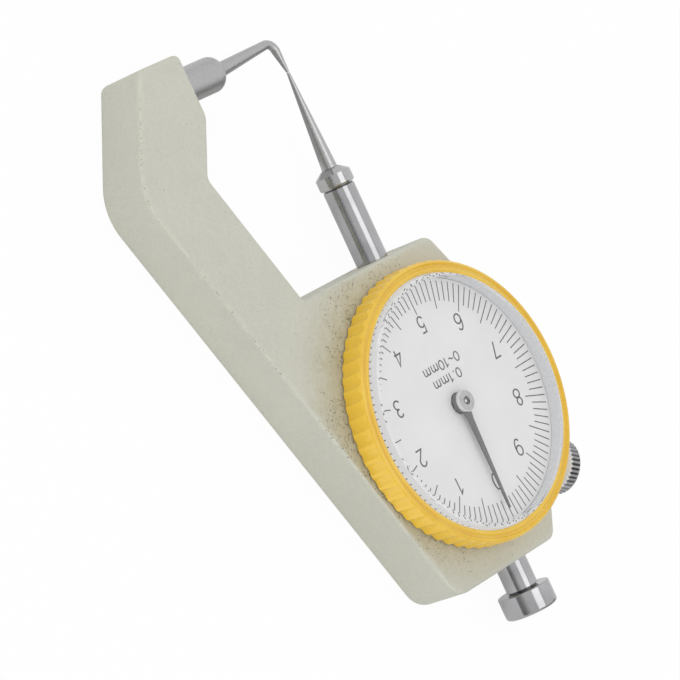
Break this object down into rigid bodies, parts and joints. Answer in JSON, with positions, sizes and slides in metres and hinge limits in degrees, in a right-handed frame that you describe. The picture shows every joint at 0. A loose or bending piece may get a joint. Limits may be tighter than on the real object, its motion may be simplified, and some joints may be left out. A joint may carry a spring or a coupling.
{
  "type": "dial caliper",
  "caption": "Dial caliper with a C-shaped cast frame: a sprung spindle carries a needle tip that closes on a fixed bent probe, and its rack and pinion turn the pointer of the dial.",
  "frame": {"origin": "on the flat back face, under the middle of the dial", "axes": "+Z is the dial normal, +Y runs along the spindle from the pull button to the measuring points, +X points to the side of the lock screw"},
  "size_m": [0.0568, 0.0881, 0.0128],
  "materials": {
    "cream_paint": "matte enamel with fine pits",
    "cover_paint": "matte enamel",
    "bright_steel": "polished",
    "satin_steel": "satin, fine turning marks",
    "tool_steel": "drawn satin",
    "brass": "turned",
    "bezel_yellow": "gloss lacquer",
    "dial_white": "satin print",
    "pointer_grey": "satin",
    "hub_grey": "satin",
    "clear": "polished"
  },
  "bodies": {
    "frame_body": {"frame": "cream_paint", "rear_cover": "cover_paint", "rear_cover_screws": "satin_steel", "upper_bush": "brass", "lower_bush": "brass", "spindle_guide": "brass", "guide_screws": "satin_steel", "return_spring": "tool_steel", "spring_post": "satin_steel", "pinion_cock": "brass", "cock_screws": "satin_steel", "upper_arbor_bush": "brass", "lower_arbor_bush": "brass", "fixed_tip": "tool_steel"},
    "spindle_body": {"spindle": "bright_steel", "moving_tip": "satin_steel", "pull_button": "bright_steel", "guide_pin": "satin_steel"},
    "pointer_body": {"pinion_arbor": "satin_steel", "pointer": "pointer_grey", "pointer_hub": "hub_grey"},
    "bezel_body": {"bezel": "bezel_yellow", "crystal": "clear", "dial_plate": "dial_white", "bezel_ring": "tool_steel"},
    "lock_body": {"lock_screw": "bright_steel", "lock_tip": "brass"}
  },
  "joints": [
    {"name": "spindle_slide", "type": "slide", "parent": "frame_body", "child": "spindle_body", "axis": [0, -1, 0], "range_m": [0, 0.01], "stiffness_N_per_m": 30, "springref_m": -0.03, "deforming": ["return_spring"]},
    {"name": "pointer_turn", "type": "hinge", "parent": "frame_body", "child": "pointer_body", "pos_m": [0, 0, 0], "axis": [0, 0, 1], "continuous": true},
    {"name": "bezel_turn", "type": "hinge", "parent": "frame_body", "child": "bezel_body", "pos_m": [0, 0, 0], "axis": [0, 0, 1], "continuous": true},
    {"name": "lock_turn", "type": "hinge", "parent": "frame_body", "child": "lock_body", "pos_m": [0.01898, -0.01512, 0.0041], "axis": [0.866, -0.5, 0], "range_deg": [-180, 180]}
  ],
  "couplings": [
    {"joint": "pointer_turn", "follows": "spindle_slide", "rad_per_m": -628.32}
  ]
}
